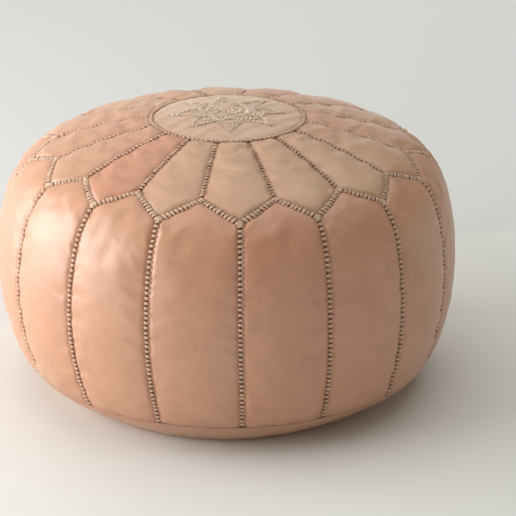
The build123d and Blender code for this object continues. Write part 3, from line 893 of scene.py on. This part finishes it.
embroidery = {
    "starRadius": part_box("medallion_embroidery")[1].x,
    "tips": 8,
    "lineGap": 0.0023,     # between the two rows of thread that draw each line
    "rowPitch": 0.0048,
    "hatchPitch": 0.0024,
    "wander": 0.0011,      # how far hand sewing leaves a line's ends from the star's own points
    "rosette": ((0.003, 0.010, 14), (0.011, 0.019, 32), (0.020, 0.027, 52)),   # rings: inner, outer, stitches
}


def onCrown(x, y, lift=0.0):
    # A point over the medallion, which is part of a sphere
    level = domeCentre[1] + np.sqrt(form["domeRadius"] ** 2 - x**2 - y**2)
    normal = np.stack(np.broadcast_arrays(x, y, level - domeCentre[1]), axis=-1) / form["domeRadius"]
    return np.stack(np.broadcast_arrays(x, y, level), axis=-1) + normal * np.asarray(lift)[..., None], normal


def crownRise(x, y):
    return 0.0012 * (1 - (x**2 + y**2) / form["medallionRadius"] ** 2)


def starLines():
    # Straight lines of the stars as rows (x0, y0, x1, y1): each joins a tip to the third or the second one on
    tips = embroidery["tips"]
    lines = []
    for skip, radius in ((3, embroidery["starRadius"]), (2, embroidery["starRadius"] * 0.66)):
        a = np.arange(tips) * 2 * pi / tips
        b = a + skip * 2 * pi / tips
        lines.append(radius * np.stack([np.cos(a), np.sin(a), np.cos(b), np.sin(b)], axis=1))
    lines = np.concatenate(lines)
    return lines + np.random.default_rng(40).normal(0, embroidery["wander"], lines.shape)


def lineDistance(x, y, line):
    x0, y0, x1, y1 = line
    dx, dy = x1 - x0, y1 - y0
    along = np.clip(((x - x0) * dx + (y - y0) * dy) / (dx**2 + dy**2), 0, 1)
    return np.hypot(x - x0 - along * dx, y - y0 - along * dy)


def medallionPanel():
    # Rings of points round a closed pole
    ringCount, around = 58, 288
    shares = np.concatenate([np.linspace(0, 0.96, ringCount), [0.972, 0.984, 0.992, 0.9972]])[1:]
    radii = form["medallionRadius"] * shares
    turn = np.arange(around) * 2 * pi / around
    x, y = radii[:, None] * np.cos(turn), radii[:, None] * np.sin(turn)
    x, y = np.concatenate([[0.0], x.ravel()]), np.concatenate([[0.0], y.ravel()])
    toRing = form["medallionRadius"] - np.hypot(x, y)
    lift = crownRise(x, y) - drawnIn(toRing, 0.0022, 0.007)
    toLine = np.min([lineDistance(x, y, line) for line in starLines()], axis=0)
    dents = np.exp(-(toLine / 0.0017) ** 2)
    swell = np.sin(x * 310 + 1) * np.sin(y * 270 + 2) + np.sin(x * 160 - y * 210)
    lift -= 0.0010 * dents - 0.00035 * swell
    points, _ = onCrown(x, y, lift)
    index, after, quads = ringFaces(len(radii), around, 1)
    fan = np.stack([np.zeros(around, int), index[0], after[0]], axis=-1)
    # along the star's lines the leather is darkened like a seam: painted shade beside the thread
    attributes = {"seam": np.minimum(toRing, toLine + 0.0012) * 1000, "tint": np.full(x.shape, -0.16)}
    piece = makeMesh("medallionPanel", points, [quads, fan], np.stack([x, y], axis=-1), attributes)
    addThickness(piece, form["leather"])
    place(piece, leatherMaterial, "leather", "medallion_panel")


def rowOfStitches(x0, y0, x1, y1, pitch, seed, length=None, width=0.6, arch=1.0):
    # Running stitches end to end along straight lines, given as arrays of their ends
    x0, y0, x1, y1 = np.atleast_1d(x0, y0, x1, y1)
    made = []
    for a, b, c, d in zip(x0, y0, x1, y1):
        count = max(1, round(float(np.hypot(c - a, d - b)) / pitch))
        t = (np.arange(count) + 0.5) / count
        across, up = c - a, d - b
        made.append(np.stack([a + across * t, b + up * t, np.full(count, across), np.full(count, up)], axis=1))
    made = np.concatenate(made)
    centres, normal = onCrown(made[:, 0], made[:, 1], crownRise(made[:, 0], made[:, 1]))
    heading = np.hstack([made[:, 2:4], np.zeros((len(made), 1))])
    heading = unit(heading - normal * (heading * normal).sum(axis=1, keepdims=True))
    ends = np.full((len(made), 2), -0.0004)
    size = pitch * 0.92 if length is None else length
    return stitches(centres, heading, normal, size, ends, seed, width=width, arch=arch)


def starEmbroidery():
    # The lines are drawn by two rows; each tip is hatched; the middle is a rosette of long stitches
    parts = []
    uneven = np.random.default_rng(41)
    for number, (x0, y0, x1, y1) in enumerate(starLines()):
        offset = embroidery["lineGap"] / 2
        dx, dy = x1 - x0, y1 - y0
        size = np.hypot(dx, dy)
        sideX, sideY = -dy / size * offset, dx / size * offset
        for side in (-1, 1):
            parts.append(rowOfStitches(x0 + side * sideX, y0 + side * sideY, x1 + side * sideX, y1 + side * sideY,
                                       embroidery["rowPitch"], 900 + 2 * number + side))
    tipAngle = np.arange(embroidery["tips"]) * 2 * pi / embroidery["tips"]
    for number, angle in enumerate(tipAngle):
        # hatching beyond and beside each tip: stitches along the radius, side by side, shorter outwards
        step = np.arange(-3, 4)
        reach = 0.012 - 0.0022 * np.abs(step)
        inner = embroidery["starRadius"] * 0.80 - 0.002 * np.abs(step)
        across = step * embroidery["hatchPitch"]
        startX = inner * cos(angle) - across * sin(angle)
        startY = inner * sin(angle) + across * cos(angle)
        parts.append(rowOfStitches(startX, startY, startX + reach * cos(angle), startY + reach * sin(angle),
                                   0.02, 940 + number, length=0.010, width=0.4, arch=0.8))
        between = angle + pi / embroidery["tips"]
        step = np.arange(-2, 3)
        across = step * embroidery["hatchPitch"] * 1.2
        inner = embroidery["starRadius"] * 0.56
        startX = inner * cos(between) - across * sin(between)
        startY = inner * sin(between) + across * cos(between)
        parts.append(rowOfStitches(startX, startY, startX + 0.009 * cos(between), startY + 0.009 * sin(between),
                                   0.02, 960 + number, length=0.009, width=0.4, arch=0.8))
    for ringNumber, (inner, outer, count) in enumerate(embroidery["rosette"]):
        angle = (np.arange(count) + uneven.uniform(-0.3, 0.3, count)) * 2 * pi / count
        inner, outer = inner + uneven.normal(0, 0.0009, count), outer + uneven.normal(0, 0.0012, count)
        parts.append(rowOfStitches(inner * np.cos(angle), inner * np.sin(angle), outer * np.cos(angle),
                                   outer * np.sin(angle), 0.03, 980 + ringNumber, length=outer - inner,
                                   width=0.66, arch=1.2))
    stitchPiece("medallionEmbroidery", parts, paleThreadMaterial, "medallion_embroidery")


print("medallion and embroidery")
medallionPanel()
starEmbroidery()

# Base: two half rounds of leather with a shallow tray for the zip between them

base = {
    "slotHalfLength": 0.151,
    "slotHalfWidth": 0.0055,
    "trayDepth": 0.006,
    "trayRim": 0.0065,
    "trayWall": 0.0104,
    "bowlPuff": 0.0030,
    "slotSeamDip": (0.0022, 0.006),   # depth and width beside the seam beyond the zip's ends
}


def slotDistance(x, y):
    # Distance from the edge of the round-ended slot
    straight = base["slotHalfLength"] - base["slotHalfWidth"]
    return np.hypot(np.maximum(np.abs(x) - straight, 0), y) - base["slotHalfWidth"]


def trayRoof(distance):
    # Height of the tray: level beside the slot, then an S-shaped wall down to the floor
    t = np.clip((distance - base["trayRim"]) / base["trayWall"], 0, 1)
    return base["trayDepth"] * (1 - t * t * (3 - 2 * t))


def basePanel(side, node):
    # Columns run from the slot's edge out to the base seam, a half round of them for each panel
    columns = 150
    straight = base["slotHalfLength"] - base["slotHalfWidth"]
    quarter = pi / 2 * base["slotHalfWidth"]
    walk = np.linspace(0, 2 * quarter + 2 * straight, columns)
    beyondStraight = walk - quarter - 2 * straight
    roundEnd = np.where(beyondStraight > 0, pi / 2 - beyondStraight / base["slotHalfWidth"], pi / 2)
    corner = np.where(walk < quarter, pi - walk / base["slotHalfWidth"], roundEnd)
    slide = np.clip(walk - quarter, 0, 2 * straight) - straight
    slotX = slide + base["slotHalfWidth"] * np.cos(corner)
    slotY = base["slotHalfWidth"] * np.sin(corner)
    turn = np.linspace(pi, 0, columns)
    rimX, rimY = baseSeamRadius * np.cos(turn), baseSeamRadius * np.sin(turn)
    t = [np.linspace(0, 0.16, 24), np.linspace(0.16, 0.72, 26)[1:], np.linspace(0.72, 1, 44)[1:]]
    t = np.concatenate(t)[:, None]
    x = slotX * (1 - t) + rimX * t
    y = np.maximum(slotY * (1 - t) + rimY * t, seamShape["gap"])
    radius = np.hypot(x, y)
    angle = np.arctan2(y * side, x)
    toSeam = (1 - t) * np.hypot(rimX - slotX, rimY - slotY)
    foot = footAt(angle)
    slant, slope = underside(radius, foot)
    share = np.clip((radius - foot) / (baseSeamRadius - foot), 0, 1)
    ripple = 0.0007 * share * np.sin(angle * 37 + np.sin(angle * 11))
    puff = base["bowlPuff"] * np.sin(pi * share) ** 0.8 + ripple * np.sin(pi * share)
    puff -= drawnIn(toSeam, *seamShape["baseDip"])
    reach = radius + puff * np.sin(slope)
    level = slant - puff * np.cos(slope) + trayRoof(slotDistance(x, y)) * (share == 0)
    beyond = np.clip((np.abs(x) - straight) / 0.01, 0, 1)
    level += drawnIn(y, *base["slotSeamDip"]) * beyond * np.cos(slope)
    level = np.maximum(level, 0.0001)
    points = np.stack([reach * np.cos(angle), reach * np.sin(angle), level], axis=-1)
    points[..., 0] -= form["slump"] * np.sin(pi * level / form["height"]) ** 2
    faces = gridFaces(*x.shape)
    if side < 0:
        faces = faces[:, ::-1]
    # the distance is capped at half a millimetre, so the whole base takes nearly the seams' full darkening: painted
    # shade
    seam = np.minimum(toSeam * creaseShade(angle), 0.5) * 1000
    tint = np.full(x.shape, 0.12 if side < 0 else 0.2)
    name = "basePanelFront" if side < 0 else "basePanelBack"
    piece = makeMesh(name, points, [faces], np.stack([x, y], axis=-1), {"seam": seam, "tint": tint})
    addThickness(piece, form["leather"] * 0.9)
    place(piece, leatherMaterial, "leather", node)


def baseSeamStitches():
    # Machine lockstitch deep in the crease, lying along the seam; its dark brown thread is painted shade of the
    # crease
    count = 320
    turn = (np.arange(count) + 0.5) / count * 2 * pi
    run = np.full(count, seamRun)
    direction = aroundAxis(turn)
    ends = np.full((count, 2), -0.0033)
    made = (onCover(turn, run), direction, normalOf(turn, run))
    parts = [stitches(*made, stitch["base"], ends, 1200, width=1.25, arch=0.2)]
    stitchPiece("baseSeamThread", parts, creaseThreadMaterial, "base_seam_thread")


print("base")
basePanel(-1, "base_panel_front")
basePanel(1, "base_panel_back")
baseSeamStitches()

# Inside: the cotton bag and what fills it


def innerForm(name, offset, gores, lump, seed):
    # The cover's profile taken inwards by offset and turned, with a lobe under each panel, closed at both poles;
    # underneath it is level, and rises over the zip's tray
    rows, around = 60, 128
    turn = np.arange(around) * 2 * pi / around
    run = np.linspace(0.004, seamRun, 44)
    radius, level, outX, outZ = onProfile(run)
    low = np.linspace(baseSeamRadius - 0.004, 0.004, rows - 44)
    reach = np.concatenate([radius - offset * outX, low - offset * (low > form["footRadius"])])[:, None]
    under = underside(low, form["footRadius"])[0] + offset * 1.05
    height = np.concatenate([level - offset * outZ, under])[:, None]
    lobes = gores * (np.abs(np.cos((turn + pi / 2) * form["panels"] / 2)) - 1) * (reach / baseSeamRadius)
    lumps = lump * (np.sin(turn * 9 + seed) * np.sin(np.arange(rows) * 0.9 + seed)[:, None] - 1)
    reach = reach + lobes + lumps * (reach > 0.03)
    x, y = reach * np.cos(turn), reach * np.sin(turn)
    bottom = (np.arange(rows) >= 44)[:, None]
    tray = trayRoof(slotDistance(x, y) - 0.006) / base["trayDepth"] * 0.0082
    height = height + np.where(bottom, tray, 0) + 0 * turn
    rings = np.stack([x, y, height], axis=-1).reshape(-1, 3)
    poles = np.array([[0, 0, form["height"] - offset], [0, 0, offset * 1.05 + 0.0082]])
    index, after, quads = ringFaces(rows, around)
    top, foot = rows * around, rows * around + 1
    fans = [np.stack([np.full(around, top), index[0], after[0]], axis=-1),
            np.stack([np.full(around, foot), after[-1], index[-1]], axis=-1)]
    return makeMesh(name, np.concatenate([rings, poles]), [quads, *fans])


print("inner bag and stuffing")
bag = innerForm("innerBag", 0.0046, 0.0008, 0.0002, 0.4)
addThickness(bag, 0.0006)
place(bag, bagMaterial, "cotton_cloth", "inner_bag")
stuffing = innerForm("cottonStuffing", 0.0066, 0.0010, 0.0008, 2.2)
place(stuffing, stuffingMaterial, "cotton_waste", "stuffing")

# Zip: the CAD model's own pieces, with their finishes


def finishNode(node, material):
    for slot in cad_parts[node].material_slots:
        slot.material = material


for node in ("zipper_tape_front", "zipper_tape_back"):
    finishNode(node, tapeMaterial)
for node in ("zipper_teeth_front", "zipper_teeth_back", "zipper_top_stops", "zipper_bottom_stop",
             "zipper_slider", "zipper_pull_tab"):
    finishNode(node, brassMaterial)

# Stage, light and camera

studio = {
    "floor": "#EDEFED", "farFloor": "#E6E8E9",
    "wallLine": (0.0, 0.28, 22.6),   # a point on it, x and y, and its turn in degrees
    "floorReach": 8.0,
    "glow": [(0.06, 0.0), (0.25, 0.20), (1.0, 0.46)],   # share of the floor's reach, and strength
    "window": {"power": 46.0, "wide": 2.1, "high": 1.2, "turn": -87.0, "tilt": 15.0, "distance": 1.9},
    "ceiling": {"power": 62.0, "wide": 4.0, "high": 4.0, "turn": 170.0, "tilt": 82.0, "distance": 3.0,
                "colour": (1.0, 0.985, 0.93)},
    "room": {"power": 1.6, "wide": 1.6, "high": 1.2, "turn": 28.0, "tilt": 8.0, "distance": 2.2},
    "wall": {"power": 7.5, "wide": 3.0, "high": 1.4, "turn": -157.0, "tilt": 12.0, "distance": 1.3},
    "sky": 0.20, "backdrop": 0.62, "warmSky": (1.0, 0.96, 0.84, 1), "paleSky": (0.97, 0.98, 1.0, 1),
}


def paleFloor():
    # A pale floor that ends in a soft line behind the object, like the foot of a wall
    half = 2 * studio["floorReach"]
    points = np.array([[-half, -half, 0], [half, -half, 0], [half, half, 0], [-half, half, 0]])
    floor = makeMesh("floor", points, [np.array([[0, 1, 2, 3]])])
    material, tree, shader = newMaterial("paleFloor")
    spot = addNode(tree, "ShaderNodeTexCoord").outputs["Object"]
    x, y, turn = studio["wallLine"]
    turned = addNode(tree, "ShaderNodeMapping", {"Vector": spot}, vector_type="TEXTURE",
                     in_Location=(x, y, 0), in_Rotation=(0, 0, radians(turn))).outputs[0]
    across = addNode(tree, "ShaderNodeSeparateXYZ", {"Vector": turned}).outputs["Y"]
    behind = addNode(tree, "ShaderNodeMath", {0: across}, operation="MULTIPLY_ADD", in_1=25.0, in_2=0.5).outputs[0]
    behind = ramp(tree, behind, [(0.0, 0.0), (1.0, 1.0)])
    colour = mixColours(tree, behind, hexColour(studio["floor"]), hexColour(studio["farFloor"]))
    tree.links.new(colour, shader.inputs["Base Color"])
    # a glow that grows with distance stands for the lit walls of the room
    reach = addNode(tree, "ShaderNodeVectorMath", {"Vector": spot}, operation="LENGTH").outputs["Value"]
    share = addNode(tree, "ShaderNodeMath", {0: reach}, operation="DIVIDE", in_1=studio["floorReach"]).outputs[0]
    tree.links.new(ramp(tree, share, studio["glow"]), shader.inputs["Emission Strength"])
    shader.inputs["Emission Color"].default_value = (1, 1, 1, 1)
    shader.inputs["Roughness"].default_value = 0.6
    shader.inputs["Specular IOR Level"].default_value = 0.2
    floor.data.materials.append(material)


def areaLight(name, light):
    # A soft light at a turn from the front and a tilt above level, pointed at the object
    lamp = bpy.data.lights.new(name, "AREA")
    lamp.shape = "RECTANGLE"
    lamp.energy, lamp.size, lamp.size_y = light["power"], light["wide"], light["high"]
    lamp.color = light.get("colour", (1, 1, 1))
    piece = bpy.data.objects.new(name, lamp)
    bpy.context.scene.collection.objects.link(piece)
    turn, tilt = radians(light["turn"]), radians(light["tilt"])
    direction = Vector((sin(turn) * cos(tilt), -cos(turn) * cos(tilt), sin(tilt)))
    piece.location = direction * light["distance"] + Vector((0, 0, form["height"] / 2))
    piece.rotation_mode = "QUATERNION"
    piece.rotation_quaternion = direction.to_track_quat("Z", "Y")
    piece.visible_camera = False
    return piece


def spareFloor(lamp):
    # The lamp leaves the floor alone, so that the floor behind the object stays even
    floorOnly = bpy.data.collections.new("floorOnly")
    floorOnly.objects.link(bpy.data.objects["floor"])
    floorOnly.collection_objects[0].light_linking.link_state = "EXCLUDE"
    lamp.light_linking.receiver_collection = floorOnly


def studioCamera():
    # A long lens a little left of the front seam, and off centre by a small turn of the camera
    view = {
        "turn": -3.5, "tilt": 20.3,           # degrees from the front and above level
        "distance": 2.683, "height": 0.184,   # metres from the point looked at, and its height
        "lens": 158.4,                        # millimetres
        "offsets": (0.0343, -0.0378),         # metres across and up from that point to the picture's middle
    }
    turn, tilt = radians(view["turn"]), radians(view["tilt"])
    back = Vector((sin(turn) * cos(tilt), -cos(turn) * cos(tilt), sin(tilt)))
    target = Vector((0, 0, view["height"]))
    across = Vector((cos(turn), sin(turn), 0))
    up = back.cross(across)
    aim = target + across * view["offsets"][0] + up * view["offsets"][1]
    data = bpy.data.cameras.new("camera")
    data.lens = view["lens"]
    camera = bpy.data.objects.new("camera", data)
    bpy.context.scene.collection.objects.link(camera)
    camera.location = target + back * view["distance"]
    camera.rotation_mode = "QUATERNION"
    camera.rotation_quaternion = (camera.location - aim).to_track_quat("Z", "Y")
    bpy.context.scene.camera = camera


def softSky():
    # Pale behind the floor's edge, and dimmer as a light
    world = bpy.data.worlds.new("studio")
    bpy.context.scene.world = world
    world.use_nodes = True
    tree = world.node_tree
    background = tree.nodes["Background"]
    seen = addNode(tree, "ShaderNodeLightPath").outputs["Is Camera Ray"]
    strength = addNode(tree, "ShaderNodeMath", {0: seen}, operation="MULTIPLY_ADD",
                       in_1=studio["backdrop"] - studio["sky"], in_2=studio["sky"]).outputs[0]
    tree.links.new(strength, background.inputs["Strength"])
    colour = mixColours(tree, seen, studio["warmSky"], studio["paleSky"])
    tree.links.new(colour, background.inputs["Color"])


print("stage, light and camera")
paleFloor()
for lamp in ("window", "ceiling", "room"):
    areaLight(lamp, studio[lamp])
spareFloor(areaLight("wall", studio["wall"]))
softSky()
studioCamera()
bpy.context.scene.view_settings.view_transform = "Standard"
